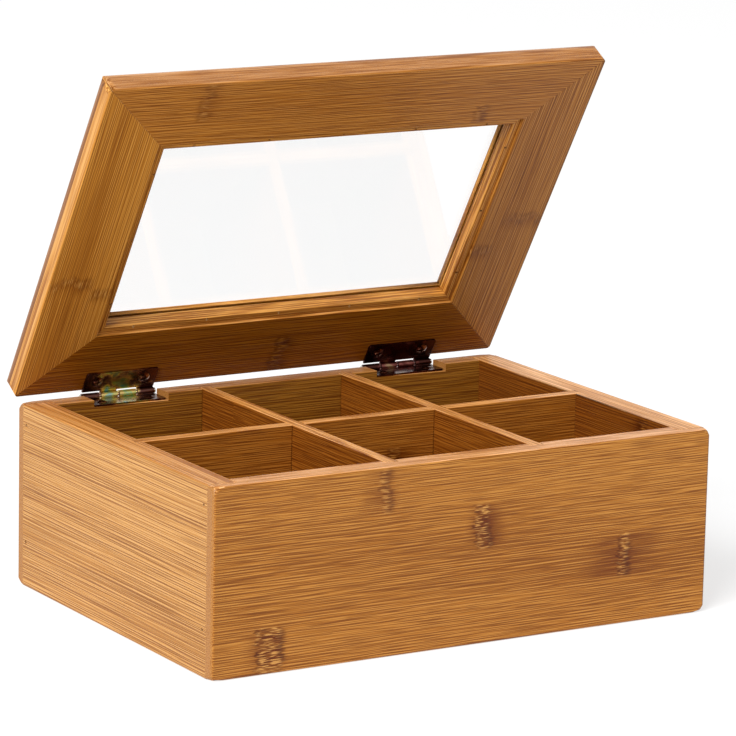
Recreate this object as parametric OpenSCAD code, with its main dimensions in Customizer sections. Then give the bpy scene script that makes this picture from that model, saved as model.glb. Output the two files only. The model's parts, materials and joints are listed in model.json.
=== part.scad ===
// Tea bag organizer box: a bamboo chest with six compartments and a hinged,
// windowed lid. Millimetres, +Z up, front at -Y, origin at the centre of the
// underside. The lid is drawn closed and then swung open about the hinge pins.

/* [Box] */
// Outside width of the box, left to right
box_w = 220; // [180:1:300]
// Outside depth of the box, front to back
box_d = 158; // [125:1:230]
// Height of the box without its lid
box_h = 73; // [50:1:110]
// Thickness of the side panels
wall_t = 12; // [9:0.5:15]
// Thickness of the front and back panels
end_t = 10; // [9:0.5:15]
// Thickness of the front and back panels' lip that covers the side panels' ends
corner_lip = 4.5; // [3:0.5:6]
// Radius of the box's four upright corners
corner_r = 1.2; // [0.6:0.1:5]
// Easing of the box's outer arrises
box_ease = 0.8; // [0.4:0.1:1.5]
// Easing of the rim's inner arrises and of the dividers' top arrises
rim_ease = 0.4; // [0.2:0.1:0.8]

/* [Bottom panel] */
// Thickness of the bottom panel
bottom_t = 5; // [3:0.5:8]
// Width of the rebate under the walls that the bottom panel sits in
bottom_rebate = 5; // [3:0.5:6]

/* [Dividers] */
// Thickness of the dividers
divider_t = 5.5; // [4:0.5:8]
// Clear width of the left pair of compartments
left_cell_w = 65; // [50:1:80]
// Clear width of the right pair of compartments
right_cell_w = 61; // [50:1:80]
// Depth of the grooves in the walls that hold the dividers' ends
groove_depth = 3; // [2:0.5:5]
// Clearance between a divider and its groove or halving joint, on each face
joint_gap = 0.05; // [0.03:0.01:0.2]

/* [Lid] */
// Thickness of the lid frame
lid_t = 12; // [10:0.5:18]
// Overhang of the lid past each side of the box
lid_side_over = 1; // [0:0.5:4]
// Set-back of the lid's front edge from the box's front face
lid_front_back = 3; // [0:0.5:6]
// Width of the frame members, seen from inside
rail_w = 29; // [22:1:40]
// Radius of the lid's four corners in plan
lid_corner_r = 3; // [1:0.5:6]
// Round-over of the lid's outer top edge
lid_round = 6; // [2:0.5:7]
// Easing of the lid's inner arrises
lid_ease = 0.8; // [0.4:0.1:1.2]
// Gap between the closed lid and the rim
seat_gap = 0.2; // [0.1:0.05:0.5]

/* [Window] */
// Thickness of the lip that the pane lies on, at the lid's outer face
lip_t = 3.5; // [2.5:0.5:5]
// Round-over of the lip's edge around the window
lip_round = 2.5; // [0.5:0.5:3]
// Thickness of the clear pane
pane_t = 2; // [1.5:0.5:4]
// Clearance around the pane in its rebate
pane_gap = 0.3; // [0.2:0.1:0.8]
// Width of the glazing beads
bead_w = 3.5; // [3:0.5:6]
// Depth of the beads' faces below the lid's inner face
bead_recess = 1.2; // [0.4:0.1:2.5]
// Rounding of the beads' free arris
bead_round = 0.8; // [0.3:0.1:1.5]

/* [Hinges] */
// Angle that the lid stands open at
open_angle = 59; // [0:1:90]
// Distance of each hinge's middle from the box's side
hinge_inset = 45; // [30:1:54]
// Width of the hinge leaves
leaf_w = 32; // [24:1:40]
// Reach of each leaf from the pin's axis
leaf_reach = 11.5; // [10:0.5:13]
// Thickness of the leaf sheet
leaf_t = 0.8; // [0.6:0.1:1.4]
// Corner radius of the leaves
leaf_corner_r = 1; // [0.5:0.25:2]
// Radius of the hinge pin
pin_r = 0.65; // [0.5:0.05:1]
// Running clearance between the pin and the rolled knuckles
pin_gap = 0.05; // [0.02:0.01:0.1]
// Distance of the pin's axis behind the box's back face
pin_back = 2.2; // [2:0.1:3]
// Number of knuckles along each hinge
knuckles = 4; // [2:2:6]
// Gap between neighbouring knuckles
knuckle_gap = 0.8; // [0.3:0.1:1.2]
// Play at each end of the notch that a hinge sits in
notch_play = 0.6; // [0.2:0.1:1.5]

/* [Screws and brads] */
// Distance between the two screws of a leaf
screw_pitch = 21; // [14:1:26]
// Distance of the screws from the pin's axis
screw_reach = 7; // [6:0.25:8]
// Radius of the screw shank
screw_r = 1.1; // [0.9:0.1:1.4]
// Radius of the screw head
screw_head_r = 2.3; // [1.8:0.1:2.6]
// Height of the head's dome above the leaf
screw_dome = 0.6; // [0.3:0.05:0.7]
// Length of the screw below the leaf's outer face
screw_len = 9; // [6:0.5:10]
// Clearance of a screw or brad in its pilot hole
pilot_gap = 0.05; // [0.03:0.01:0.1]
// Radius of the brads through the corners of the box
brad_r = 0.7; // [0.5:0.05:1]
// Length of the corner brads
brad_len = 24; // [18:1:30]
// Depth that the brads' heads are set below the wood
brad_set = 0.8; // [0.3:0.1:1.5]
// Distance of the upper corner brads below the rim
brad_top = 8; // [5:1:20]
// Distance of the lower corner brads above the underside
brad_bottom = 18; // [10:1:25]
// Radius of the pins through the glazing beads
bead_pin_r = 0.5; // [0.4:0.05:0.7]
// Length of the bead pins
bead_pin_len = 8.5; // [6:0.5:9]
// Spacing of the bead pins
bead_pin_pitch = 33; // [20:1:45]

/* [Hidden] */
$fn = 48;
eps = 1;
roll_slack = 0.05; // room between a leaf's rolled sheet and its neighbour's flat
barrel_gap = 0.4; // from a knuckle to the rounded part of its leaf
pin_stub = 0.1; // length of the hinge pin that shows past the knuckles
pin_head_t = 0.6;
pin_head_in = 0.4; // how much smaller the pin's head is than a knuckle
neck_step = 0.1; // least step from a screw's head to its shank
point_len = 2; // length of the points of screws and brads
screw_tip_r = 0.2;
brad_tip_r = 0.15;
pilot_spare = 0.3; // depth of a pilot hole past the screw's point
recess_len = 2.6; // the cross recess in a screw's head
recess_w = 0.6;
recess_depth = 1;
bead_pin_edge = 1; // from a bead's free edge to its pins
bead_pin_set = 0.5; // how far the bead pins' ends are set below the bead
bead_pin_spare = 0.5; // depth of a pin's hole past its end
bead_pin_margin = 20; // length of each bead without pins, at both ends together
bead_pin_tilt = 45;

bamboo_front = "#c8853f";
bamboo_side = "#d9a066";
bamboo_inner = "#b87333";
bamboo_lid = "#a9642c";
hinge_steel = "#8d7a3c";
pin_steel = "#9a9a92";
brad_steel = "#5a5048";

inner_w = box_w - 2 * wall_t;
inner_d = box_d - 2 * end_t;
divider_h = box_h - bottom_t;
lap_z = bottom_t + divider_h / 2;
left_divider_x = -inner_w / 2 + left_cell_w + divider_t / 2;
right_divider_x = inner_w / 2 - right_cell_w - divider_t / 2;
bottom_w = inner_w + 2 * bottom_rebate;
bottom_d = inner_d + 2 * bottom_rebate;

bore_r = pin_r + pin_gap;
knuckle_r = bore_r + leaf_t + roll_slack;
lid_z = box_h + seat_gap;
pin_y = box_d / 2 + pin_back;
pin_z = lid_z - knuckle_r;
notch_floor = pin_z - knuckle_r;
knuckle_w = (leaf_w - (knuckles - 1) * knuckle_gap) / knuckles;
knuckle_step = knuckle_w + knuckle_gap;
hinge_x = box_w / 2 - hinge_inset;
sink = min(leaf_t, screw_head_r - screw_r - neck_step);

lid_w = box_w + 2 * lid_side_over;
lid_d = box_d - lid_front_back;
lid_y = lid_front_back / 2;
rebate_u = lid_t - lip_t;
pane_u = rebate_u - pane_t;
mitre = rail_w + bead_w + eps;
mid_brad_y = box_d / 2 - corner_lip - (end_t - corner_lip) / 2;

// ---- shared shapes ----

// What a rounding of radius r takes off a corner at the origin, material in +X +Y
module corner_cut(r) {
    difference() {
        translate([-eps, -eps]) square(r + eps);
        translate([r, r]) circle(r);
    }
}

// A w x h rectangle about the origin with corners of radius r
module rounded_rect(w, h, r) {
    difference() {
        square([w, h], center = true);
        for (sx = [0, 1], sy = [0, 1])
            mirror([sx, 0]) mirror([0, sy]) translate([-w / 2, -h / 2]) corner_cut(r);
    }
}

// A strip along X that eases a top arris, its wood towards +Y and -Z
module ease_strip(len, r) {
    rotate([90, 0, 90]) linear_extrude(len, center = true) mirror([0, 1]) corner_cut(r);
}

// ---- box ----

// The box's whole outside with its corners and arrises rounded
module box_envelope() {
    intersection() {
        linear_extrude(box_h) rounded_rect(box_w, box_d, corner_r);
        translate([0, 0, box_h / 2]) rotate([90, 0, 0])
            linear_extrude(box_d, center = true) rounded_rect(box_w, box_h, box_ease);
        translate([0, 0, box_h / 2]) rotate([90, 0, 90])
            linear_extrude(box_w, center = true) rounded_rect(box_d, box_h, box_ease);
    }
}

module bottom_blank() {
    translate([-bottom_w / 2, -bottom_d / 2, 0]) cube([bottom_w, bottom_d, bottom_t]);
}

// Front or back wall, drawn as the front one, whose lips cover the side panels' ends
module end_wall() {
    difference() {
        intersection() {
            box_envelope();
            translate([-box_w / 2, -box_d / 2, 0]) cube([box_w, end_t, box_h]);
        }
        for (s = [-1, 1])
            translate([s * (box_w / 2 + eps) - (wall_t + eps) * (s + 1) / 2,
                       -box_d / 2 + corner_lip, -eps])
                cube([wall_t + eps, end_t, box_h + 2 * eps]);
        bottom_blank();
        translate([0, -inner_d / 2, box_h]) mirror([0, 1, 0]) ease_strip(inner_w, rim_ease);
        for (x = [left_divider_x, right_divider_x])
            translate([x - divider_t / 2 - joint_gap, -inner_d / 2 - groove_depth, bottom_t])
                cube([divider_t + 2 * joint_gap, groove_depth + eps, box_h]);
        corner_brad_holes();
    }
}

// Left or right wall, drawn as the left one
module side_wall() {
    side_d = box_d - 2 * corner_lip;
    difference() {
        intersection() {
            box_envelope();
            translate([-box_w / 2, -side_d / 2, 0]) cube([wall_t, side_d, box_h]);
        }
        bottom_blank();
        translate([-inner_w / 2, 0, box_h]) rotate([0, 0, 90]) ease_strip(inner_d, rim_ease);
        translate([-inner_w / 2 - groove_depth, -divider_t / 2 - joint_gap, bottom_t])
            cube([groove_depth + eps, divider_t + 2 * joint_gap, box_h]);
        corner_brad_holes();
    }
}

// Children once at each place where a brad goes in, pointing inwards along +Z
module at_corner_brads() {
    for (sx = [-1, 1], sy = [-1, 1], z = [brad_bottom, box_h - brad_top])
        translate([sx * box_w / 2, sy * mid_brad_y, z]) rotate([0, -sx * 90, 0]) children();
}

module corner_brad_holes() {
    at_corner_brads() translate([0, 0, -eps]) cylinder(h = brad_set + brad_len + eps, r = brad_r + pilot_gap);
}

module corner_brads() {
    color(brad_steel) at_corner_brads() translate([0, 0, brad_set]) {
        cylinder(h = brad_len - point_len, r = brad_r);
        translate([0, 0, brad_len - point_len]) cylinder(h = point_len, r1 = brad_r, r2 = brad_tip_r);
    }
}

module front_panel() {
    color(bamboo_front) end_wall();
}

module back_panel() {
    color(bamboo_inner) difference() {
        mirror([0, 1, 0]) end_wall();
        for (sx = [-1, 1]) {
            translate([sx * hinge_x - leaf_w / 2 - notch_play, inner_d / 2 - eps, notch_floor])
                cube([leaf_w + 2 * notch_play, end_t + 2 * eps, box_h]);
            at_box_screws(sx) pilot_hole();
        }
    }
}

module left_panel() {
    color(bamboo_side) side_wall();
}

module right_panel() {
    color(bamboo_side) mirror([1, 0, 0]) side_wall();
}

module bottom_panel() {
    color(bamboo_inner) bottom_blank();
}

// ---- dividers ----

// A divider's board along X, centred, standing on the bottom panel
module divider_board(len) {
    difference() {
        translate([-len / 2, -divider_t / 2, bottom_t]) cube([len, divider_t, divider_h]);
        for (m = [0, 1])
            mirror([0, m, 0]) translate([0, -divider_t / 2, box_h]) ease_strip(len + 2 * eps, rim_ease);
    }
}

// Room for a crossing divider, open towards +Z
module lap_slot(at = 0) {
    translate([at - divider_t / 2 - joint_gap, -divider_t, lap_z - joint_gap / 2])
        cube([divider_t + 2 * joint_gap, 2 * divider_t, box_h]);
}

module long_divider() {
    color(bamboo_inner) difference() {
        divider_board(inner_w + 2 * (groove_depth - joint_gap));
        lap_slot(left_divider_x);
        lap_slot(right_divider_x);
    }
}

module cross_divider(x) {
    color(bamboo_inner) translate([x, 0, 0]) rotate([0, 0, 90]) difference() {
        divider_board(inner_d + 2 * (groove_depth - joint_gap));
        translate([0, 0, 2 * lap_z]) mirror([0, 0, 1]) lap_slot();
    }
}

module left_cross_divider() {
    cross_divider(left_divider_x);
}

module right_cross_divider() {
    cross_divider(right_divider_x);
}

// ---- lid ----

// Swings what is drawn closed to where the lid stands
module swing() {
    translate([0, pin_y, pin_z]) rotate([-open_angle, 0, 0]) translate([0, -pin_y, -pin_z]) children();
}

// A side of the lid: X along it, Y from its outer edge to the window, Z outwards
module lid_side(turn) {
    half = (turn % 180 == 0) ? lid_d / 2 : lid_w / 2;
    translate([0, lid_y, lid_z]) rotate([0, 0, turn]) translate([0, -half, 0]) children();
}

function side_len(turn) = (turn % 180 == 0) ? lid_w : lid_d;

// Cuts the children's ends at 45 degrees
module mitred(len) {
    intersection() {
        children();
        translate([0, 0, -eps]) linear_extrude(lid_t + 2 * eps)
            polygon([[-len / 2, 0], [len / 2, 0], [len / 2 - mitre, mitre], [mitre - len / 2, mitre]]);
    }
}

// A profile in Y and Z run along X
module moulding(len) {
    rotate([90, 0, 90]) linear_extrude(len, center = true) children();
}

module frame_profile() {
    difference() {
        union() {
            square([rail_w, lid_t]);
            translate([0, rebate_u]) square([rail_w + bead_w, lip_t]);
        }
        corner_cut(lid_ease);
        translate([rail_w, 0]) mirror([1, 0]) corner_cut(lid_ease / 2);
        translate([0, lid_t]) mirror([0, 1]) corner_cut(lid_round);
        translate([rail_w + bead_w, lid_t]) mirror([1, 0]) mirror([0, 1]) corner_cut(lip_round);
    }
}

module bead_profile() {
    translate([rail_w, bead_recess]) difference() {
        square([bead_w, pane_u - bead_recess]);
        translate([bead_w, 0]) mirror([1, 0]) corner_cut(bead_round);
    }
}

// Children at each pin of one bead, pointing from its free arris into the frame
module at_bead_pins(turn) {
    n = max(2, floor((side_len(turn) - 2 * rail_w - bead_pin_margin) / bead_pin_pitch) + 1);
    for (i = [0 : n - 1])
        translate([(i - (n - 1) / 2) * bead_pin_pitch, rail_w + bead_w - bead_pin_edge, bead_recess])
            rotate([bead_pin_tilt, 0, 0]) children();
}

// The hole of one bead pin, open past the bead's face
module bead_pin_hole() {
    translate([0, 0, -2 * eps])
        cylinder(h = 2 * eps + bead_pin_set + bead_pin_len + bead_pin_spare, r = bead_pin_r + pilot_gap);
}

module frame_member(turn) {
    len = side_len(turn);
    difference() {
        intersection() {
            lid_side(turn) mitred(len) moulding(len) frame_profile();
            translate([0, lid_y, lid_z - eps]) linear_extrude(lid_t + 2 * eps)
                rounded_rect(lid_w, lid_d, lid_corner_r);
        }
        lid_side(turn) at_bead_pins(turn) bead_pin_hole();
    }
}

module bead(turn) {
    len = side_len(turn);
    color(bamboo_lid) swing() lid_side(turn) difference() {
        mitred(len) moulding(len) bead_profile();
        at_bead_pins(turn) bead_pin_hole();
    }
}

module lid_front_rail() {
    color(bamboo_lid) swing() frame_member(0);
}

module lid_right_stile() {
    color(bamboo_lid) swing() frame_member(90);
}

module lid_rear_rail() {
    color(bamboo_lid) swing() difference() {
        frame_member(180);
        for (sx = [-1, 1]) at_lid_screws(sx) pilot_hole();
    }
}

module lid_left_stile() {
    color(bamboo_lid) swing() frame_member(270);
}

module front_bead() {
    bead(0);
}

module right_bead() {
    bead(90);
}

module rear_bead() {
    bead(180);
}

module left_bead() {
    bead(270);
}

module bead_pins() {
    color(brad_steel) swing() for (turn = [0, 90, 180, 270])
        lid_side(turn) at_bead_pins(turn)
            translate([0, 0, bead_pin_set]) cylinder(h = bead_pin_len, r = bead_pin_r);
}

module window_pane() {
    w = lid_w - 2 * (rail_w + pane_gap);
    d = lid_d - 2 * (rail_w + pane_gap);
    color("#dfeaf0", 0.35) swing()
        translate([-w / 2, lid_y - d / 2, lid_z + pane_u]) cube([w, d, pane_t]);
}

// ---- hinges ----

// One leaf with its pin along X at the origin, reaching towards -Y below the pin;
// it owns every second knuckle, starting with the first when odd is 0
module leaf(odd) {
    difference() {
        union() {
            translate([0, -(leaf_reach + knuckle_r + barrel_gap) / 2, -knuckle_r])
                linear_extrude(leaf_t)
                    rounded_rect(leaf_w, leaf_reach - knuckle_r - barrel_gap, leaf_corner_r);
            for (i = [odd : 2 : knuckles - 1]) translate([i * knuckle_step - leaf_w / 2, 0, 0]) {
                translate([0, -leaf_reach / 2, -knuckle_r]) cube([knuckle_w, leaf_reach / 2, leaf_t]);
                rotate([0, 90, 0]) cylinder(h = knuckle_w, r = knuckle_r);
            }
        }
        translate([-leaf_w, 0, 0]) rotate([0, 90, 0]) cylinder(h = 2 * leaf_w, r = bore_r);
        for (sx = [-1, 1]) translate([sx * screw_pitch / 2, -screw_reach, -knuckle_r])
            screw_seat();
    }
}

// The hole in a leaf: clear for the shank, countersunk for the head
module screw_seat() {
    neck_r = screw_head_r + pilot_gap - sink;
    translate([0, 0, -eps]) cylinder(h = leaf_t + 2 * eps, r = neck_r);
    translate([0, 0, leaf_t - sink]) cylinder(h = sink + eps, r1 = neck_r, r2 = neck_r + sink + eps);
}

// A raised countersunk screw with a cross recess, its point at -Z, leaf face at z = 0
module screw() {
    cone_h = sink - neck_step;
    dome_r = (screw_head_r * screw_head_r + screw_dome * screw_dome) / (2 * screw_dome);
    difference() {
        union() {
            translate([0, 0, -leaf_t - screw_len + point_len])
                cylinder(h = leaf_t + screw_len - point_len, r = screw_r);
            translate([0, 0, -leaf_t - screw_len]) cylinder(h = point_len, r1 = screw_tip_r, r2 = screw_r);
            translate([0, 0, -cone_h]) cylinder(h = cone_h, r1 = screw_head_r - cone_h, r2 = screw_head_r);
            rotate_extrude() intersection() {
                square([screw_head_r, screw_dome]);
                translate([0, screw_dome - dome_r]) circle(dome_r, $fn = 96);
            }
        }
        for (a = [0, 90]) rotate([0, 0, a])
            translate([-recess_len / 2, -recess_w / 2, screw_dome - recess_depth])
                cube([recess_len, recess_w, recess_depth + eps]);
    }
}

module pilot_hole() {
    depth = leaf_t + screw_len + pilot_spare;
    translate([0, 0, -depth]) cylinder(h = depth, r = screw_r + pilot_gap);
}

// Children at each screw of a box leaf, Z out of the leaf's face
module at_box_screws(side) {
    for (sx = [-1, 1])
        translate([side * hinge_x + sx * screw_pitch / 2, pin_y - screw_reach, notch_floor + leaf_t])
            children();
}

// The same on a lid leaf, with the lid closed
module at_lid_screws(side) {
    for (sx = [-1, 1])
        translate([side * hinge_x + sx * screw_pitch / 2, pin_y - screw_reach, lid_z - leaf_t])
            rotate([180, 0, 0]) children();
}

module hinge_box_leaf(side) {
    color(hinge_steel) translate([side * hinge_x, pin_y, pin_z]) leaf(0);
}

module hinge_lid_leaf(side) {
    color(hinge_steel) swing() translate([side * hinge_x, pin_y, pin_z]) mirror([0, 0, 1]) leaf(1);
}

// The pin, held by its peened ends
module hinge_pin(side) {
    shaft_len = leaf_w + 2 * pin_stub;
    color(pin_steel) translate([side * hinge_x - shaft_len / 2, pin_y, pin_z]) rotate([0, 90, 0]) {
        cylinder(h = shaft_len, r = pin_r);
        for (z = [-pin_head_t, shaft_len])
            translate([0, 0, z]) cylinder(h = pin_head_t, r = knuckle_r - pin_head_in);
    }
}

module hinge_box_screws(side) {
    color(pin_steel) at_box_screws(side) screw();
}

module hinge_lid_screws(side) {
    color(pin_steel) swing() at_lid_screws(side) screw();
}

module left_hinge_box_leaf() {
    hinge_box_leaf(-1);
}

module left_hinge_lid_leaf() {
    hinge_lid_leaf(-1);
}

module left_hinge_pin() {
    hinge_pin(-1);
}

module left_hinge_box_screws() {
    hinge_box_screws(-1);
}

module left_hinge_lid_screws() {
    hinge_lid_screws(-1);
}

module right_hinge_box_leaf() {
    hinge_box_leaf(1);
}

module right_hinge_lid_leaf() {
    hinge_lid_leaf(1);
}

module right_hinge_pin() {
    hinge_pin(1);
}

module right_hinge_box_screws() {
    hinge_box_screws(1);
}

module right_hinge_lid_screws() {
    hinge_lid_screws(1);
}

front_panel();
back_panel();
left_panel();
right_panel();
bottom_panel();
long_divider();
left_cross_divider();
right_cross_divider();
corner_brads();
lid_front_rail();
lid_rear_rail();
lid_left_stile();
lid_right_stile();
window_pane();
front_bead();
rear_bead();
left_bead();
right_bead();
bead_pins();
left_hinge_box_leaf();
left_hinge_lid_leaf();
left_hinge_pin();
left_hinge_box_screws();
left_hinge_lid_screws();
right_hinge_box_leaf();
right_hinge_lid_leaf();
right_hinge_pin();
right_hinge_box_screws();
right_hinge_lid_screws();
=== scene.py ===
import bpy
import bmesh
import json
from math import radians, sin, cos
from mathutils import Matrix, Vector, Quaternion


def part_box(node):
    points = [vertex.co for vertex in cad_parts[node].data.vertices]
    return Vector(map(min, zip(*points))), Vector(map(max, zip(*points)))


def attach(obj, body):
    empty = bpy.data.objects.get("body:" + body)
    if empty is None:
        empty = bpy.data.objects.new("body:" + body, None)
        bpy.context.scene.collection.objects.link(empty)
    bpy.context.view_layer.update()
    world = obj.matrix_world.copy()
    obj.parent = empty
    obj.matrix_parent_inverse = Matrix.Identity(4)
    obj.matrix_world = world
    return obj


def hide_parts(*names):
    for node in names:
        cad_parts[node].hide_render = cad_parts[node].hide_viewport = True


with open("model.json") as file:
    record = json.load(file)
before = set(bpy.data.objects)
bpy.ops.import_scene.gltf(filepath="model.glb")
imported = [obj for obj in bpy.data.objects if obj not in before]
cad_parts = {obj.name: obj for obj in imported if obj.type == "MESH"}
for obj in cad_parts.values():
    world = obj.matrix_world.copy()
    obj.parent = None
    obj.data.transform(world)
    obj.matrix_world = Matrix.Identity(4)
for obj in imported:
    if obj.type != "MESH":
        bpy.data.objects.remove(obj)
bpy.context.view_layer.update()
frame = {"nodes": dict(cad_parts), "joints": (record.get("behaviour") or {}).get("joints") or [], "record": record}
bpy.ops.object.select_all(action="DESELECT")
nodes = frame["nodes"]
mm = 0.001
scene = bpy.context.scene
scene.view_settings.view_transform = "Standard"
print("frame loaded:", len(nodes), "CAD nodes")

viewpoint = {
    "azimuth": -31.3,               # degrees, negative is towards the box's left
    "elevation": 12.02,
    "roll": 1.26,
    "distance": 1.664,              # metres from the target
    "target": (0.0021, 0.0, 0.0918),
    "lens": 209.2,                  # millimetres, as the sensor
    "sensor": 36,
    "clip": (0.05, 60),
}


def makeCamera(v):
    a, e = radians(v["azimuth"]), radians(v["elevation"])
    back = Vector((sin(a) * cos(e), -cos(a) * cos(e), sin(e)))
    data = bpy.data.cameras.new("productCamera")
    data.sensor_width = v["sensor"]
    data.lens = v["lens"]
    data.clip_start, data.clip_end = v["clip"]
    camera = bpy.data.objects.new("productCamera", data)
    scene.collection.objects.link(camera)
    camera.location = Vector(v["target"]) + back * v["distance"]
    camera.rotation_mode = "QUATERNION"
    level = (-back).to_track_quat("-Z", "Y")
    camera.rotation_quaternion = level @ Quaternion((0, 0, 1), radians(v["roll"]))
    scene.camera = camera


makeCamera(viewpoint)
print("camera placed")

hinge = frame["joints"][0]
pin = Vector(hinge["pos_m"])
openAngle = radians(-hinge["range_deg"][0])
lidNodes = frame["record"]["behaviour"]["bodies"]["lid"]
closeTurn = Matrix.Rotation(openAngle, 3, "X")      # turns the open lid shut


def closed(name, point):
    if name in lidNodes:
        return pin + closeTurn @ (Vector(point) - pin)
    return Vector(point)


# short ways to write material nodes


def plug(tree, socket, value):
    if isinstance(value, bpy.types.NodeSocket):
        tree.links.new(value, socket)
    else:
        socket.default_value = value


def add(tree, kind, inputs=None, **settings):
    node = tree.nodes.new(kind)
    for key, value in settings.items():
        setattr(node, key, value)
    for key, value in (inputs or {}).items():
        plug(tree, node.inputs[key], value)
    return node


def calc(tree, operation, a, b=0.0):
    return add(tree, "ShaderNodeMath", {0: a, 1: b}, operation=operation).outputs[0]


def vectorCalc(tree, operation, a, b):
    return add(tree, "ShaderNodeVectorMath", {0: a, 1: b}, operation=operation).outputs[0]


def ramp(tree, value, low, high, outLow=0.0, outHigh=1.0, smooth=True):
    kind = "SMOOTHSTEP" if smooth else "LINEAR"
    inputs = {"Value": value, "From Min": low, "From Max": high, "To Min": outLow, "To Max": outHigh}
    return add(tree, "ShaderNodeMapRange", inputs, interpolation_type=kind).outputs["Result"]


def blendColor(tree, factor, a, b, mode="MIX"):
    node = add(tree, "ShaderNodeMix", data_type="RGBA", blend_type=mode)
    for socket, value in zip((node.inputs[0], node.inputs[6], node.inputs[7]), (factor, a, b)):
        plug(tree, socket, value)
    return node.outputs[2]


def noise(tree, vector, ripples, detail=2.0, distortion=0.0):
    scaled = vectorCalc(tree, "MULTIPLY", vector, ripples)
    inputs = {"Vector": scaled, "Scale": 1.0, "Detail": detail, "Distortion": distortion}
    return add(tree, "ShaderNodeTexNoise", inputs).outputs[0]


def centred(tree, value, amount):
    return calc(tree, "MULTIPLY", calc(tree, "SUBTRACT", value, 0.5), amount)


def total(tree, *values):
    result = values[0]
    for value in values[1:]:
        result = calc(tree, "ADD", result, value)
    return result


def newGroup(name, ins, outs):
    group = bpy.data.node_groups.new(name, "ShaderNodeTree")
    for label, kind in ins:
        group.interface.new_socket(name=label, in_out="INPUT", socket_type=kind)
    for label, kind in outs:
        group.interface.new_socket(name=label, in_out="OUTPUT", socket_type=kind)
    return group, group.nodes.new("NodeGroupInput").outputs, group.nodes.new("NodeGroupOutput").inputs


def useGroup(tree, group, inputs):
    node = tree.nodes.new("ShaderNodeGroup")
    node.node_tree = group
    for key, value in inputs.items():
        plug(tree, node.inputs[key], value)
    return node.outputs


def newMaterial(name):
    material = bpy.data.materials.new(name)
    material.use_nodes = True
    material.node_tree.nodes.clear()
    return material, material.node_tree


# bamboo is painted in board space, in millimetres: X along the grain, Y across the strips, Z through it
# noise is given in ripples per millimetre along those three, and a limits entry as the arguments of a ramp

flt, vec = "NodeSocketFloat", "NodeSocketVector"

grainLook = {
    "stripShift": (900, 40, 40),      # furthest that one strip's pattern lies from the next one's
    "stripTone": 0.13,
    "slow": (1 / 160, 1 / 17, 1 / 14),
    "slowTone": 0.54,
    "broad": (1 / 380, 1 / 7, 1 / 6),
    "broadTone": 0.19,
    "fibre": (1 / 30, 1 / 0.42, 1 / 0.6),
    "fibreTone": 0.20,
    "hair": (1 / 22, 1 / 0.40, 1 / 0.5),
    "hairShift": (0, 0.38, 0),        # less itself moved this far, only the thinnest hairlines stay
    "hairTone": 1.55,
    "dash": (1 / 15, 1 / 0.38, 1 / 0.5),
    "dashLimits": (0.58, 0.65),
    "seamLimits": (0.488, 0.5),
}


def makeGrainGroup(look):
    group, given, result = newGroup(
        "bambooGrain",
        [("Board", vec), ("Strip", flt), ("Ply", flt), ("Seed", flt), ("Run", flt), ("Bold", flt)],
        [("Tone", flt), ("Lines", flt), ("Relief", flt), ("Seam", flt)],
    )
    parts = add(group, "ShaderNodeSeparateXYZ", {0: given["Board"]}).outputs
    strips = calc(group, "DIVIDE", parts["Y"], given["Strip"])
    plies = calc(group, "DIVIDE", parts["Z"], given["Ply"])
    cell = add(group, "ShaderNodeCombineXYZ", {
        "X": calc(group, "FLOOR", strips), "Y": calc(group, "FLOOR", plies), "Z": given["Seed"]}).outputs[0]
    lot = add(group, "ShaderNodeTexWhiteNoise", {"Vector": cell}, noise_dimensions="3D").outputs
    shift = vectorCalc(group, "MULTIPLY", lot["Color"], look["stripShift"])
    run = add(group, "ShaderNodeCombineXYZ", {"X": given["Run"], "Y": 1.0, "Z": 1.0}).outputs[0]
    place = vectorCalc(group, "DIVIDE", vectorCalc(group, "ADD", given["Board"], shift), run)
    beside = vectorCalc(group, "ADD", place, look["hairShift"])
    slow = noise(group, place, look["slow"], 1.0)
    broad = noise(group, place, look["broad"])
    fibre = noise(group, place, look["fibre"], 0.0)
    dash = noise(group, place, look["dash"], 0.0)
    hair = noise(group, place, look["hair"], 0.0)
    hair = calc(group, "SUBTRACT", hair, noise(group, beside, look["hair"], 0.0))
    fineTone = calc(group, "ADD", centred(group, fibre, look["fibreTone"]),
                    calc(group, "MULTIPLY", hair, look["hairTone"]))
    tone = total(group, 0.5,
                 centred(group, slow, look["slowTone"]),
                 centred(group, broad, look["broadTone"]),
                 calc(group, "MULTIPLY", given["Bold"], fineTone),
                 centred(group, lot["Value"], look["stripTone"]))
    lines = calc(group, "MULTIPLY", given["Bold"], ramp(group, dash, *look["dashLimits"]))
    seam = calc(group, "ABSOLUTE", calc(group, "SUBTRACT", calc(group, "FRACT", strips), 0.5))
    relief = calc(group, "SUBTRACT", total(group, hair, fibre, 0.5), lines)
    plug(group, result["Tone"], tone)
    plug(group, result["Lines"], lines)
    plug(group, result["Relief"], relief)
    plug(group, result["Seam"], ramp(group, seam, *look["seamLimits"]))
    return group


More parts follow.
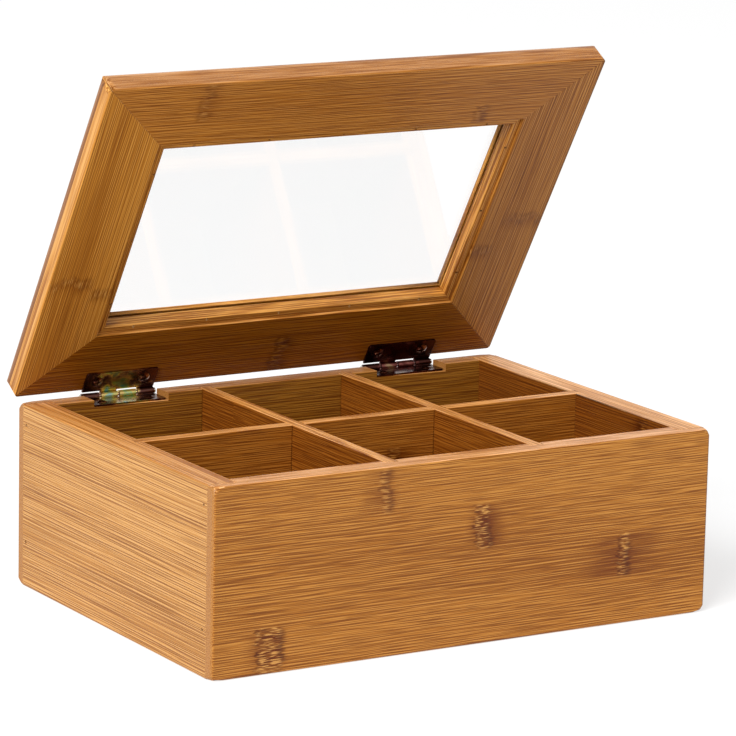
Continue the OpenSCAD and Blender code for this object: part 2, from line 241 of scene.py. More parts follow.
# a knuckle is a torn core between two dark bars, with a stain that fades along the grain
knuckleLook = {
    "bundles": (0.03, 1.0, 0.9),
    "bundleSway": 4.5,               # millimetres the mark wanders along the grain
    "sweep": (0.01, 0.13, 0.13),
    "sweepSway": 5.5,
    "coreLimits": (-1.2, 1.2, 1.0, 0.0),
    "ragged": (1 / 3, 1 / 0.9, 1),
    "raggedSway": 3.2,
    "bars": (
        {"side": 1.0, "limits": (0.2, 1.3, 1.0, 0.0),
         "patch": (0.02, 1 / 2.6, 1 / 2.6), "patchLimits": (0.35, 0.55)},
        {"side": -1.0, "limits": (0.2, 2.6, 1.0, 0.0),
         "patch": (0.02, 1 / 7, 1 / 7), "patchLimits": (0.45, 0.55)},
    ),
    "foreStart": 0.6,                # of half the core, where the stain begins to fade
    "streaks": (1 / 24, 1 / 0.8, 1 / 1.2),
    "streakLimits": (0.36, 0.56, 0.35, 1.0),
    "cloud": (1 / 26, 1 / 6, 1 / 6),
    "cloudLimits": (0.36, 0.54, 0.45, 1.0),
    "edgeWave": (0.09, 0.4, 0.4),
    "edgeSway": 1.5,
    "edgeSoft": {"Core": 1.6, "Halo": 3.2, "Bar": 1.6},     # how far a mark fades at its strip's edges
    "edgeOver": 0.25,                # part of that beyond the strip
    "plainHalf": (1.2, 1.4),         # half core of a short entry, and what its strength adds
    "plainAft": 0.6,                 # stain of a short entry on the aft side, as a part of the fore side's
}


def makeKnuckleGroup(look):
    group, given, result = newGroup(
        "bambooKnuckle",
        [("Board", vec), ("Along", flt), ("Low", flt), ("High", flt), ("Half", flt), ("Strength", flt),
         ("Fore", flt), ("Aft", flt)],
        [("Core", flt), ("Halo", flt), ("Bar", flt)],
    )
    board = given["Board"]
    parts = add(group, "ShaderNodeSeparateXYZ", {0: board}).outputs
    away = total(group, calc(group, "SUBTRACT", parts["X"], given["Along"]),
                 centred(group, noise(group, board, look["bundles"], 1.0), look["bundleSway"]),
                 centred(group, noise(group, board, look["sweep"], 1.0), look["sweepSway"]))
    outside = calc(group, "SUBTRACT", calc(group, "ABSOLUTE", away), given["Half"])
    ragged = centred(group, noise(group, board, look["ragged"], 1.0), look["raggedSway"])
    bars = []
    for bar in look["bars"]:
        beyond = calc(group, "ADD", calc(group, "MULTIPLY", away, bar["side"]), given["Half"])
        beyond = calc(group, "ADD", calc(group, "ABSOLUTE", beyond), ragged)
        patch = noise(group, board, bar["patch"], 0.0)
        bars.append(calc(group, "MULTIPLY", ramp(group, beyond, *bar["limits"]),
                         ramp(group, patch, *bar["patchLimits"])))
    foreStart = calc(group, "MULTIPLY", given["Half"], look["foreStart"])
    fore = ramp(group, away, foreStart, given["Fore"], 1.0, 0.0)
    aft = ramp(group, away, calc(group, "MULTIPLY", given["Aft"], -1.0), 0.0)
    streaks = ramp(group, noise(group, board, look["streaks"]), *look["streakLimits"])
    cloud = ramp(group, noise(group, board, look["cloud"], 1.0), *look["cloudLimits"])
    smear = calc(group, "MULTIPLY", calc(group, "MINIMUM", fore, aft), streaks)
    smear = calc(group, "MULTIPLY", smear, cloud)
    values = {
        "Core": ramp(group, outside, *look["coreLimits"]),
        "Halo": smear,
        "Bar": calc(group, "MAXIMUM", *bars),
    }
    edgeWave = centred(group, noise(group, board, look["edgeWave"]), look["edgeSway"])
    across = calc(group, "ADD", parts["Y"], edgeWave)
    fromLow = calc(group, "SUBTRACT", across, given["Low"])
    fromHigh = calc(group, "SUBTRACT", given["High"], across)
    for label, value in values.items():
        soft = look["edgeSoft"][label]
        over = -look["edgeOver"] * soft
        inside = calc(group, "MULTIPLY", ramp(group, fromLow, over, soft), ramp(group, fromHigh, over, soft))
        inside = calc(group, "MULTIPLY", inside, given["Strength"])
        plug(group, result[label], calc(group, "MULTIPLY", value, inside))
    return group


grainGroup = makeGrainGroup(grainLook)
knuckleGroup = makeKnuckleGroup(knuckleLook)

bamboo = {
    "dark": (0.205, 0.062, 0.0065),
    "mid": (0.375, 0.137, 0.0165),
    "light": (0.50, 0.215, 0.040),
    "line": (0.150, 0.039, 0.003),
    # the burnt colour darkens a knuckle's bars and, with the smear colour, is painted shade in the hollows of its
    # torn fibres; the ridge colour is a painted highlight on their crests
    "burntAndShade": (0.080, 0.015, 0.001),
    "smear": (0.125, 0.024, 0.001),
    "ridgeHighlight": (0.66, 0.33, 0.085),
    "endGrain": (0.37, 0.165, 0.042),
    "darkLimits": (0.24, 0.50),
    "lightLimits": (0.50, 0.76),
    "lineShare": 0.48,
    "seamShare": 0.3,
    "curl": (1 / 5.0, 1 / 0.46, 1 / 0.9),      # the torn fibres inside a knuckle
    "curlTwist": 0.15,
    # where the torn fibres lie low they get painted shade, and where they stand high a painted highlight
    "burntShadeLimits": (0.38, 0.48),
    "hollowShadeLimits": (0.32, 0.50, 0.8, 0.3),
    "ridgeHighlightLimits": (0.51, 0.60, 0.0, 0.75),
    "barLimits": (0.40, 0.60, 0.85, 0.4),
    "endLimits": (0.45, 0.75),                 # how squarely a face looks along the grain
    "edgeLimits": (0.70, 0.90),                # and across it
    "innerLimits": (0.6, 0.85),
    "plyLine": 0.2,
    "pores": (1 / 3, 1 / 0.5, 1 / 0.5),
    "poreLimits": (0.40, 0.72, 0.0, 0.75),
    "grainRelief": 0.30,
    "curlRelief": 2.4,
    "bump": {"Strength": 0.55, "Distance": 0.0002},
    "roughness": 0.42,
    "roughSwing": 0.08,
    "roughLimits": (-0.5, 1.5),
}
wallStrip = 18.25      # the walls are glued up from four bamboo strips
railStrip = 19.5
beadStrip = 40         # wider than a bead, so it has no seam
# the cross dividers' tint is painted shade, darkening them inside the box
crossDividerShade = (0.5, 0.37, 0.22)
beadTint = (1.25, 1.32, 1.5)
# the dividers' edge colour is a painted sheen that makes their top edges lighter and whiter
dividerEdgeSheen = (1.65, 1.9, 3.5)
axes = {"x": Vector((1, 0, 0)), "y": Vector((0, 1, 0)), "z": Vector((0, 0, 1))}

# grain and across are axes with the lid shut, bold is the grain's strength and run how far it is drawn out
# tint multiplies the colours, and edge, the inner colour and the first ply's colour take its place on the board's
# narrow sides, on the face that inSide names and in the first ply; edge is a painted sheen that makes the narrow
# sides lighter and whiter, and the inner and first ply colours are painted shade
# a knuckle is (along, across, strength, fore) or (along, across, strength, half, fore, aft): its place with
# the lid shut, half of its core's length, and how far its stain runs each way, all in millimetres
plainBoard = {
    "bold": 0.88, "run": 1.0, "tint": (1, 1, 1), "ply": 6.0, "inSide": 1, "gloss": 0.22, "knuckles": []}
boards = {
    "front_panel": {
        "grain": "x", "across": "z", "strip": wallStrip, "seed": 3, "bold": 0.84, "edge": (2.12, 2.65, 6.3),
        "knuckles": [(-86, 9, 1.0, 5.2, 9, 13), (-37, 64, 0.6, 1.8, 7, 14), (6, 46, 1.0, 2.9, 13, 8),
                     (71, 31, 0.9, 2.0, 22, 24)]},
    "back_panel": {
        "grain": "x", "across": "z", "strip": wallStrip, "seed": 14,
        # the back panel's inner colour is painted shade on its inner face
        "edge": (1.55, 1.75, 3.0), "inner": (0.60, 0.56, 0.36),
        "knuckles": [(-46, 27, 0.8, 12), (30, 9, 0.7, 9), (88, 46, 0.8, 12)]},
    "left_panel": {
        "grain": "y", "across": "z", "strip": wallStrip, "seed": 25, "bold": 0.75, "run": 2.4,
        # painted light: this tint makes the left panel lighter and whiter, as the sheen of the light from the left
        "tint": (1.1, 1.33, 2.2), "edge": (1.95, 2.3, 4.2), "inner": (0.8, 0.75, 0.6)},
    "right_panel": {
        "grain": "y", "across": "z", "strip": wallStrip, "seed": 36, "bold": 0.84, "run": 2.0,
        # the right panel's inner colour is painted shade on its inner face
        "tint": (1.05, 1.15, 1.5), "edge": (2.3, 3.0, 6.8), "inner": (0.42, 0.30, 0.18), "inSide": -1,
        "knuckles": [(-50, 64, 0.8, 10), (22, 27, 0.8, 12)]},
    "bottom_panel": {
        "grain": "x", "across": "y", "strip": wallStrip, "seed": 47,
        "knuckles": [(-60, -40, 0.8, 10), (35, 28, 0.8, 12)]},
    "long_divider": {
        "grain": "x", "across": "z", "strip": wallStrip, "seed": 58,
        # this tint is painted shade, darkening the long divider inside the box
        "tint": (0.78, 0.66, 0.5), "gloss": 0.12, "edge": dividerEdgeSheen,
        "knuckles": [(13, 58, 0.8, 12), (-68, 22, 0.6, 9)]},
    "left_cross_divider": {
        "grain": "y", "across": "z", "strip": wallStrip, "seed": 69,
        "tint": crossDividerShade, "gloss": 0.12, "edge": dividerEdgeSheen, "knuckles": [(30, 30, 0.6, 9)]},
    "right_cross_divider": {
        "grain": "y", "across": "z", "strip": wallStrip, "seed": 80,
        "tint": crossDividerShade, "gloss": 0.12, "edge": dividerEdgeSheen, "knuckles": [(-18, 40, 0.6, 9)]},
    "lid_front_rail": {
        "grain": "x", "across": "y", "strip": railStrip, "seed": 91, "bold": 0.74,
        "tint": (1.02, 1.0, 1.0), "edge": (1.3, 1.48, 3.0),
        "knuckles": [(-68, -66, 0.45, 9), (60, -52, 0.45, 7)]},
    "lid_rear_rail": {
        "grain": "x", "across": "-y", "strip": railStrip, "seed": 102, "bold": 0.78,
        # this tint is painted shade, darkening the rear rail where the box and the lid shade it by the hinges
        "tint": (0.65, 0.53, 0.22), "gloss": 0.1, "edge": (1.5, 1.7, 2.6), "knuckles": [(5, 71, 0.7, 9)]},
    "lid_left_stile": {
        "grain": "y", "across": "x", "strip": railStrip, "seed": 113, "bold": 0.5, "run": 1.9, "ply": 6.6,
        # painted light: this tint makes the left stile lighter, as the light from the left falls on it, and its
        # first ply colour is painted shade
        "tint": (1.3, 1.42, 1.5), "edge": (1.5, 1.8, 2.6), "outerPly": (0.55, 0.48, 0.45),
        "knuckles": [(21, -100, 0.45, 8), (27, -86, 0.45, 7)]},
    "lid_right_stile": {
        "grain": "y", "across": "-x", "strip": railStrip, "seed": 124, "bold": 0.8, "run": 1.9,
        "tint": (0.98, 1.0, 1.15), "edge": (1.3, 1.4, 1.6),
        "knuckles": [(6, 104, 0.4, 8), (22, 88, 0.5, 8)]},
    "front_bead": {"grain": "x", "across": "y", "strip": beadStrip, "seed": 135, "tint": beadTint},
    "rear_bead": {"grain": "x", "across": "-y", "strip": beadStrip, "seed": 146, "tint": beadTint},
    "left_bead": {"grain": "y", "across": "x", "strip": beadStrip, "seed": 157, "tint": beadTint},
    "right_bead": {"grain": "y", "across": "-x", "strip": beadStrip, "seed": 168, "tint": beadTint},
}


def signedAxis(label):
    return -axes[label[1]] if label[0] == "-" else axes[label[0]]


def boardFrame(name, board):
    grain, across = signedAxis(board["grain"]), signedAxis(board["across"])
    turn = Matrix((grain, across, grain.cross(across)))
    places = [turn @ closed(name, v.co) for v in nodes[name].data.vertices]
    corner = Vector([min(p[i] for p in places) for i in range(3)])
    return turn, corner


def knuckleSize(strength, size):
    if len(size) > 1:
        return size
    base, gain = knuckleLook["plainHalf"]
    return base + gain * strength, size[0], knuckleLook["plainAft"] * size[0]


def knuckleMarks(tree, board, boardSpace, turn, corner):
    marks = {"Core": 0.0, "Halo": 0.0, "Bar": 0.0}
    for along, across, strength, *size in board["knuckles"]:
        half, fore, aft = knuckleSize(strength, size)
        spot = axes[board["grain"][-1]] * along * mm + axes[board["across"][-1]] * across * mm
        spot = (turn @ spot - corner) / mm
        low = int(spot.y // board["strip"]) * board["strip"]
        mark = useGroup(tree, knuckleGroup, {
            "Board": boardSpace, "Along": spot.x, "Low": low, "High": low + board["strip"],
            "Half": half, "Strength": strength, "Fore": fore, "Aft": aft})
        for label in marks:
            marks[label] = calc(tree, "MAXIMUM", mark[label], marks[label])
    return marks


def paintKnuckles(tree, color, look, marks, curl):
    def share(label, limits):
        return calc(tree, "MULTIPLY", marks[label], ramp(tree, curl, *bamboo[limits]))

    color = blendColor(tree, marks["Halo"], color, look["smear"])
    # painted shade in the low parts of the torn fibres, and a painted highlight on the high parts
    hollowShade = blendColor(tree, ramp(tree, curl, *bamboo["burntShadeLimits"]), look["burntAndShade"], look["smear"])
    color = blendColor(tree, share("Core", "hollowShadeLimits"), color, hollowShade)
    color = blendColor(tree, share("Core", "ridgeHighlightLimits"), color, look["ridgeHighlight"])
    return blendColor(tree, share("Bar", "barLimits"), color, look["burntAndShade"])


def bambooMaterial(name):
    board = {**plainBoard, **boards[name]}
    tint = board["tint"]
    look = {key: (*[c * t for c, t in zip(bamboo[key], tint)], 1)
            for key in ("dark", "mid", "light", "line", "burntAndShade", "smear", "ridgeHighlight", "endGrain")}
    shades = {key: (*[c / t for c, t in zip(board.get(key, tint), tint)], 1)
              for key in ("edge", "inner", "outerPly")}
    turn, corner = boardFrame(name, board)
    origin = turn @ closed(name, (0, 0, 0)) - corner
    swing = turn @ closeTurn if name in lidNodes else turn
    material, tree = newMaterial("bamboo_" + name)
    coords = add(tree, "ShaderNodeTexCoord").outputs
    boardSpace = add(tree, "ShaderNodeMapping", {
        "Vector": coords["Object"], "Scale": (1 / mm, 1 / mm, 1 / mm),
        "Rotation": swing.to_euler(), "Location": origin / mm}).outputs[0]
    grain = useGroup(tree, grainGroup, {
        "Board": boardSpace, "Strip": board["strip"], "Ply": board["ply"], "Seed": board["seed"],
        "Run": board["run"], "Bold": board["bold"]})
    marks = knuckleMarks(tree, board, boardSpace, turn, corner)
    curl = noise(tree, boardSpace, bamboo["curl"], 1.0, bamboo["curlTwist"])

    color = blendColor(tree, ramp(tree, grain["Tone"], *bamboo["darkLimits"]), look["dark"], look["mid"])
    color = blendColor(tree, ramp(tree, grain["Tone"], *bamboo["lightLimits"]), color, look["light"])
    for part, share in (("Lines", "lineShare"), ("Seam", "seamShare")):
        color = blendColor(tree, calc(tree, "MULTIPLY", grain[part], bamboo[share]), color, look["line"])
    color = paintKnuckles(tree, color, look, marks, curl)

    facing = []
    for axis in "xyz":
        way = swing.transposed() @ axes[axis]
        dot = add(tree, "ShaderNodeVectorMath", {0: coords["Normal"], 1: way}, operation="DOT_PRODUCT")
        facing.append(dot.outputs["Value"])
    endOn = ramp(tree, calc(tree, "ABSOLUTE", facing[0]), *bamboo["endLimits"])
    # painted sheen: the narrow sides take the edge colour, which is lighter and whiter
    edgeOn = ramp(tree, calc(tree, "ABSOLUTE", facing[1]), *bamboo["edgeLimits"])
    # painted shade: the face that inSide names is darkened by the inner colour
    innerShadeOn = ramp(tree, facing[2], *[limit * board["inSide"] for limit in bamboo["innerLimits"]])
    deep = add(tree, "ShaderNodeSeparateXYZ", {0: boardSpace}).outputs["Z"]
    firstPly = ramp(tree, deep, board["ply"] - bamboo["plyLine"], board["ply"] + bamboo["plyLine"], 1.0, 0.0)
    # painted shade: the first ply on the narrow sides is darkened, as the lid's side in shadow
    outerPlyShadeOn = calc(tree, "MULTIPLY", edgeOn, firstPly)
    for amount, part in ((edgeOn, "edge"), (innerShadeOn, "inner"), (outerPlyShadeOn, "outerPly")):
        color = blendColor(tree, amount, color, blendColor(tree, 1.0, color, shades[part], "MULTIPLY"))
    pores = ramp(tree, noise(tree, boardSpace, bamboo["pores"], 1.0), *bamboo["poreLimits"])
    color = blendColor(tree, endOn, color, blendColor(tree, pores, look["endGrain"], look["dark"]))

    torn = calc(tree, "MULTIPLY", calc(tree, "MULTIPLY", curl, marks["Core"]), bamboo["curlRelief"])
    height = calc(tree, "ADD", calc(tree, "MULTIPLY", grain["Relief"], bamboo["grainRelief"]), torn)
    bump = add(tree, "ShaderNodeBump", {"Height": height, **bamboo["bump"]}).outputs[0]
    rough = ramp(tree, grain["Relief"], *bamboo["roughLimits"],
                 bamboo["roughness"] + bamboo["roughSwing"], bamboo["roughness"] - bamboo["roughSwing"])
    shader = add(tree, "ShaderNodeBsdfPrincipled", {
        "Base Color": color, "Normal": bump, "Specular IOR Level": board["gloss"], "Roughness": rough})
    add(tree, "ShaderNodeOutputMaterial", {"Surface": shader.outputs[0]})
    return material


def paint(name, material):
    nodes[name].data.materials.clear()
    nodes[name].data.materials.append(material)


for name in boards:
    paint(name, bambooMaterial(name))
print("bamboo boards finished:", len(boards))

pane = {
    "sheet": {"Base Color": (0.998, 1.0, 0.999, 1), "Roughness": 0.0, "IOR": 1.49,
              "Specular IOR Level": 0.25, "Transmission Weight": 1.0},
    "shadow": (0.94, 0.955, 0.95, 1),       # light that the pane lets through to what lies in its shadow
}


def paneMaterial():
    material, tree = newMaterial("clearPane")
    sheet = add(tree, "ShaderNodeBsdfPrincipled", pane["sheet"])
    through = add(tree, "ShaderNodeBsdfTransparent", {"Color": pane["shadow"]})
    rays = add(tree, "ShaderNodeLightPath").outputs
    mixed = add(tree, "ShaderNodeMixShader", {
        0: rays["Is Shadow Ray"], 1: sheet.outputs[0], 2: through.outputs[0]})
    add(tree, "ShaderNodeOutputMaterial", {"Surface": mixed.outputs[0]})
    return material


paint("window_pane", paneMaterial())

# colours run from the dark patches of the plating to the bright ones, and clouds are in millimetres; on the hinges
# the bright, green and teal patches are painted highlights and reflections, and the right hinge's darker colours
# are painted shade
metals = {
    "leftHingePaintedLightPlating": {
        "roughness": 0.17, "clouds": 4.5, "middle": -65 * mm,
        "colors": [(0.10, 0.040, 0.030), (0.30, 0.17, 0.10), (0.60, 0.43, 0.15), (0.38, 0.42, 0.14),
                   (0.24, 0.36, 0.34)]},
    "rightHingePaintedLightPlating": {
        "roughness": 0.17, "clouds": 4.5, "middle": 65 * mm,
        "colors": [(0.050, 0.016, 0.012), (0.10, 0.030, 0.024), (0.17, 0.055, 0.045), (0.26, 0.16, 0.09)]},
    "screwPlating": {
        "roughness": 0.16, "clouds": 2.0,
        "colors": [(0.12, 0.05, 0.04), (0.26, 0.14, 0.10), (0.42, 0.30, 0.20)]},
    "wireSteel": {"roughness": 0.26, "clouds": 3.0, "colors": [(0.42, 0.38, 0.33), (0.60, 0.57, 0.52)]},
    "pinBrass": {"roughness": 0.4, "clouds": 2.0, "colors": [(0.20, 0.10, 0.04), (0.36, 0.20, 0.08)]},
    "bradSteel": {"roughness": 0.5, "clouds": 2.0, "colors": [(0.05, 0.035, 0.03), (0.10, 0.08, 0.06)]},
}
plating = {
    "cloudTwist": 0.6,
    "endLimits": (5 * mm, 14 * mm, -0.02, 0.30),     # painted shade darkens the hinge plating towards the hinge's ends, around a painted highlight in the middle
    "firstStep": 0.30,
    "stepSpread": 0.28,
    "stepBlend": 0.10,
    "speck": 1500,                                   # ripples per metre
    "bump": {"Strength": 0.06, "Distance": 0.00005},
    "roughLimits": (0.2, 0.7),
    "roughSwing": (0.08, -0.03),
}


def platedMaterial(name):
    metal = metals[name]
    material, tree = newMaterial(name)
    place = add(tree, "ShaderNodeTexCoord").outputs["Object"]
    cloud = noise(tree, place, [1 / (metal["clouds"] * mm)] * 3, 2.0, plating["cloudTwist"])
    if "middle" in metal:
        along = add(tree, "ShaderNodeSeparateXYZ", {0: place}).outputs["X"]
        along = calc(tree, "ABSOLUTE", calc(tree, "SUBTRACT", along, metal["middle"]))
        cloud = calc(tree, "SUBTRACT", cloud, ramp(tree, along, *plating["endLimits"]))
    color, *shades = [(*shade, 1) for shade in metal["colors"]]
    for index, shade in enumerate(shades):
        step = plating["firstStep"] + plating["stepSpread"] * index / max(1, len(shades) - 1)
        color = blendColor(tree, ramp(tree, cloud, step, step + plating["stepBlend"]), color, shade)
    speck = noise(tree, place, [plating["speck"]] * 3)
    bump = add(tree, "ShaderNodeBump", {"Height": speck, **plating["bump"]}).outputs[0]
    rough = [metal["roughness"] + swing for swing in plating["roughSwing"]]
    shader = add(tree, "ShaderNodeBsdfPrincipled", {
        "Base Color": color, "Metallic": 1.0, "Normal": bump,
        "Roughness": ramp(tree, cloud, *plating["roughLimits"], *rough)})
    add(tree, "ShaderNodeOutputMaterial", {"Surface": shader.outputs[0]})
    return material


metalLooks = {name: platedMaterial(name) for name in metals}
for side in ("left", "right"):
    paint(f"{side}_hinge_pin", metalLooks["wireSteel"])
    for part in ("box_screws", "lid_screws"):
        paint(f"{side}_hinge_{part}", metalLooks["screwPlating"])
paint("corner_brads", metalLooks["bradSteel"])
paint("bead_pins", metalLooks["pinBrass"])
print("pane and metal finished")

# short ways to shape and finish a mesh, for boards and hinge leaves alike
finishing = {
    "merge": 0.000002,          # metres
    "smoothUnder": 32,          # degrees
    "normalWeight": 80,
}


def editAll():
    bpy.ops.object.mode_set(mode="EDIT")
    bpy.ops.mesh.select_all(action="SELECT")


def mergeDoubles():
    bpy.ops.mesh.select_all(action="SELECT")
    bpy.ops.mesh.remove_doubles(threshold=finishing["merge"])


def pick(kind, test):
    # selects the vertices or edges of the mesh being edited that pass a test
    bpy.ops.mesh.select_mode(type={"verts": "VERT", "edges": "EDGE"}[kind])
    bpy.ops.mesh.select_all(action="DESELECT")
    mesh = bmesh.from_edit_mesh(bpy.context.object.data)
    for item in getattr(mesh, kind):
        item.select_set(bool(test(item)))
    bmesh.update_edit_mesh(bpy.context.object.data)


def facesOut():
    editAll()
    bpy.ops.mesh.normals_make_consistent(inside=False)
    bpy.ops.object.mode_set(mode="OBJECT")


def modify(piece, kind, **settings):
    modifier = piece.modifiers.new(kind.lower(), kind)
    for key, value in settings.items():
        setattr(modifier, key, value)
    bpy.context.view_layer.objects.active = piece
    bpy.ops.object.modifier_apply(modifier=modifier.name)


def alone(piece):
    bpy.ops.object.select_all(action="DESELECT")
    piece.select_set(True)
    bpy.context.view_layer.objects.active = piece


def finishPiece(piece, body, material, replaced):
    bpy.ops.object.shade_smooth_by_angle(angle=radians(finishing["smoothUnder"]))
    modify(piece, "WEIGHTED_NORMAL", keep_sharp=True, weight=finishing["normalWeight"])
    piece.data.materials.clear()
    piece.data.materials.append(material)
    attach(piece, body)
    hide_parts(replaced)
    piece.select_set(False)


# every board gets eased edges, and the front and back panels get sanded corner tips
easing = {
    "flatUnder": 0.3,            # degrees
    "sharpOver": 40,
    "shortest": 4.0,             # millimetres, since shorter edges belong to holes and round corners
    "segments": 3,
    "tipRadius": 2.2,
    "tipTurns": (16, 46, 74),    # degrees, where the facets of a sanded tip look
    "tipLifts": (24, 47, 69),
}
boardKinds = {
    "wall_bamboo": {"width": 0.30, "names": ["front_panel", "back_panel", "left_panel", "right_panel"]},
    "lid_bamboo": {
        "width": 0.22, "names": ["lid_front_rail", "lid_rear_rail", "lid_left_stile", "lid_right_stile"]},
    "bead_bamboo": {"width": 0.35, "names": ["front_bead", "rear_bead", "left_bead", "right_bead"]},
    "divider_bamboo": {"width": 0.5, "names": ["long_divider", "left_cross_divider", "right_cross_divider"]},
    "bottom_board": {"width": 0.3, "names": ["bottom_panel"]},
}


def sandTip(tip, signs, radius):
    centre = tip - signs * radius
    for turn in easing["tipTurns"]:
        for lift in easing["tipLifts"]:
            flat = cos(radians(lift))
            way = Vector((signs.x * cos(radians(turn)) * flat, signs.y * sin(radians(turn)) * flat,
                          signs.z * sin(radians(lift))))
            bpy.ops.mesh.select_all(action="SELECT")
            bpy.ops.mesh.bisect(
                plane_co=centre + way * radius, plane_no=way, use_fill=True, clear_outer=True)


def sandTips(name, radius):
    # the corners where three outer faces meet
    low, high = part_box(name)
    front = -1 if low.y < 0 else 1
    for right in (-1, 1):
        for up in (-1, 1):
            signs = Vector((right, front, up))
            tip = Vector([high[i] if signs[i] > 0 else low[i] for i in range(3)])
            sandTip(tip, signs, radius)
    mergeDoubles()
    bpy.ops.mesh.fill_holes(sides=0)


def easedBoard(name, width):
    piece = bpy.data.objects.new(name + "Board", nodes[name].data.copy())
    scene.collection.objects.link(piece)
    alone(piece)
    editAll()
    mergeDoubles()
    bpy.ops.mesh.dissolve_limited(angle_limit=radians(easing["flatUnder"]))
    if name in ("front_panel", "back_panel"):
        sandTips(name, easing["tipRadius"] * mm)
    sharp, shortest = radians(easing["sharpOver"]), easing["shortest"] * mm
    pick("edges", lambda e: e.calc_length() > shortest and e.is_manifold and e.calc_face_angle() > sharp)
    bpy.ops.mesh.bevel(offset=width * mm, segments=easing["segments"], affect="EDGES", clamp_overlap=False)
    bpy.ops.object.mode_set(mode="OBJECT")
    finishPiece(piece, "lid" if name in lidNodes else "box", nodes[name].data.materials[0], name)


for slot, kind in boardKinds.items():
    for name in kind["names"]:
        easedBoard(name, kind["width"])
print("boards eased:", sum(len(kind["names"]) for kind in boardKinds.values()))

# hinge leaves are rolled from sheet round the pin, in millimetres
leaf = {
    "width": 32.0, "reach": 11.5, "sheet": 0.8, "barrel": 1.55, "knuckles": 4, "gap": 0.8,
    "plateGap": 0.4,               # the plate stops this far from the barrel
    "rollTurn": 282,               # degrees the sheet goes round the pin
    "rollSteps": 24,
    "corner": 1.0, "cornerSteps": 5,
    "edge": 0.12, "edgeSteps": 2, "edgeOver": 45,
    "screwPitch": 21.0, "screwReach": 7.0,
    "seat": 2.45, "seatSides": 48, "seatSpare": 1.0,
    "near": 0.01,
}


def knuckleSpans():
    width = (leaf["width"] - (leaf["knuckles"] - 1) * leaf["gap"]) / leaf["knuckles"]
    starts = [-leaf["width"] / 2 + index * (width + leaf["gap"]) for index in range(leaf["knuckles"])]
    return [(start, start + width) for start in starts]


def sinkScrewSeats(piece, level):
    top = leaf["seat"] + leaf["seatSpare"]
    bottom = top - leaf["sheet"] * 2 - leaf["seatSpare"]
    for side in (-1, 1):
        bpy.ops.mesh.primitive_cone_add(
            vertices=leaf["seatSides"], radius1=bottom * mm, radius2=top * mm,
            depth=(leaf["sheet"] + 2 * leaf["seatSpare"]) * mm,
            location=(side * leaf["screwPitch"] / 2 * mm, -leaf["screwReach"] * mm, level))
        cutter = bpy.context.object
        modify(piece, "BOOLEAN", object=cutter, operation="DIFFERENCE", solver="EXACT")
        bpy.data.objects.remove(cutter)


def rolledLeaf(name, firstKnuckle):
    middle = leaf["barrel"] - leaf["sheet"] / 2           # radius of the sheet's middle round the pin
    plateEnd = -(leaf["barrel"] + leaf["plateGap"])
    halfWidth = leaf["width"] / 2
    bpy.ops.mesh.primitive_plane_add(size=1 * mm)
    piece = bpy.context.object
    piece.name = name
    editAll()
    bpy.ops.transform.resize(value=(leaf["width"], leaf["reach"] + plateEnd, 1))
    bpy.ops.transform.translate(value=(0, (plateEnd - leaf["reach"]) / 2 * mm, -middle * mm))
    spans = knuckleSpans()
    for cut in [end for span in spans for end in span]:
        if abs(cut) < halfWidth - leaf["near"]:
            bpy.ops.mesh.select_all(action="SELECT")
            bpy.ops.mesh.bisect(plane_co=(cut * mm, 0, 0), plane_no=(1, 0, 0))

    def outerCorner(vertex):
        across, along = vertex.co.x, vertex.co.y
        return abs(across) > (halfWidth - leaf["near"]) * mm and along < (leaf["near"] - leaf["reach"]) * mm

    pick("verts", outerCorner)
    bpy.ops.mesh.bevel(offset=leaf["corner"] * mm, segments=leaf["cornerSteps"], affect="VERTICES")

    def ownEdge(edge):
        across = sum(v.co.x for v in edge.verts) / 2 / mm
        atEnd = all(v.co.y > (plateEnd - leaf["near"]) * mm for v in edge.verts)
        return atEnd and any(start < across < end for start, end in spans[firstKnuckle::2])

    pick("edges", ownEdge)
    bpy.ops.mesh.extrude_region_move(TRANSFORM_OT_translate={"value": (0, -plateEnd * mm, 0)})
    bpy.ops.mesh.spin(
        steps=leaf["rollSteps"], angle=radians(leaf["rollTurn"]), center=(0, 0, 0), axis=(1, 0, 0))
    mergeDoubles()
    bpy.ops.mesh.normals_make_consistent(inside=False)
    bpy.ops.object.mode_set(mode="OBJECT")
    modify(piece, "SOLIDIFY", thickness=leaf["sheet"] * mm, offset=0.0)
    facesOut()
    sinkScrewSeats(piece, -middle * mm)
    modify(piece, "BEVEL", width=leaf["edge"] * mm, segments=leaf["edgeSteps"], limit_method="ANGLE",
           angle_limit=radians(leaf["edgeOver"]))
    return piece


def hingeLeaves(side):
    plated = side + "HingePaintedLightPlating"
    place = Matrix.Translation(Vector((metals[plated]["middle"], pin.y, pin.z)))
    openTurn = Matrix.Rotation(-openAngle, 4, "X")
    flipped = Matrix.Scale(-1, 4, (0, 0, 1))
    boxLeaf = rolledLeaf(side + "BoxLeaf", 0)
    lidLeaf = rolledLeaf(side + "LidLeaf", 1)
    for piece, moved, body in ((boxLeaf, place, "box"), (lidLeaf, place @ openTurn @ flipped, "lid")):
        alone(piece)
        piece.matrix_world = moved
        bpy.ops.object.transform_apply(location=True, rotation=True, scale=True)
        facesOut()
        finishPiece(piece, body, metalLooks[plated], f"{side}_hinge_{body}_leaf")


for side in ("left", "right"):
    hingeLeaves(side)
print("hinge leaves rolled")

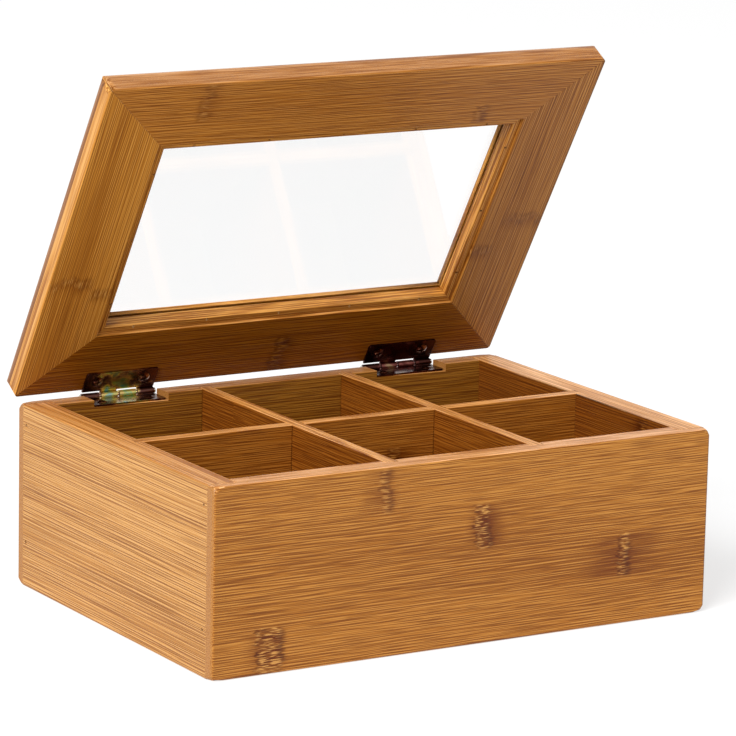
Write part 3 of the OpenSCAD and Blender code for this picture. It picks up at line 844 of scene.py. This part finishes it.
studio = {
    "floorSize": 14.0,
    "floorDrop": 0.0002,           # metres below the box, so the two never share a plane
    "floorColor": (0.86, 0.86, 0.855, 1),
    "floorSeen": 0.36,             # how much of the lit floor the camera sees, the rest is even white
    "floorWhite": 0.68,
    "surround": 0.42,              # strength of the all-round light on the object
    "keyPower": 900.0,             # watts
    "keySize": 4.4,
    "keyFrom": (-5.74, -3.16, 4.54),
    "keyAim": (0, 0, 0.06),
}


def seenDirectly(tree):
    # 1 for what the camera sees, straight or in metal and glass
    rays = add(tree, "ShaderNodeLightPath").outputs
    mirrored = calc(tree, "MAXIMUM", rays["Is Glossy Ray"], rays["Is Transmission Ray"])
    return calc(tree, "MAXIMUM", rays["Is Camera Ray"], mirrored)


def makeFloor(s):
    bpy.ops.mesh.primitive_plane_add(size=s["floorSize"], location=(0, 0, -s["floorDrop"]))
    floor = bpy.context.object
    floor.name = "floor"
    bpy.ops.object.transform_apply(location=True, rotation=True, scale=True)
    material, tree = newMaterial("paleFloor")
    seen = seenDirectly(tree)
    shade = blendColor(tree, seen, s["floorColor"], (*[s["floorSeen"]] * 3, 1))
    matt = add(tree, "ShaderNodeBsdfDiffuse", {"Color": shade})
    glow = add(tree, "ShaderNodeEmission", {
        "Color": (1, 1, 1, 1), "Strength": calc(tree, "MULTIPLY", seen, s["floorWhite"])})
    both = add(tree, "ShaderNodeAddShader", {0: matt.outputs[0], 1: glow.outputs[0]})
    add(tree, "ShaderNodeOutputMaterial", {"Surface": both.outputs[0]})
    floor.data.materials.append(material)


def makeSurround(strength):
    world = bpy.data.worlds.new("studio")
    scene.world = world
    world.use_nodes = True
    tree = world.node_tree
    tree.nodes.clear()
    power = ramp(tree, seenDirectly(tree), 0.0, 1.0, strength, 1.0, smooth=False)
    light = add(tree, "ShaderNodeBackground", {"Color": (1, 1, 1, 1), "Strength": power})
    add(tree, "ShaderNodeOutputWorld", {"Surface": light.outputs[0]})


def makeLamp(name, power, size, place, aim):
    data = bpy.data.lights.new(name, "AREA")
    data.energy, data.size = power, size
    lamp = bpy.data.objects.new(name, data)
    scene.collection.objects.link(lamp)
    lamp.location = place
    lamp.rotation_euler = (Vector(aim) - Vector(place)).to_track_quat("-Z", "Y").to_euler()


makeFloor(studio)
makeSurround(studio["surround"])
makeLamp("keyLamp", studio["keyPower"], studio["keySize"], studio["keyFrom"], studio["keyAim"])
print("floor and lamps placed")
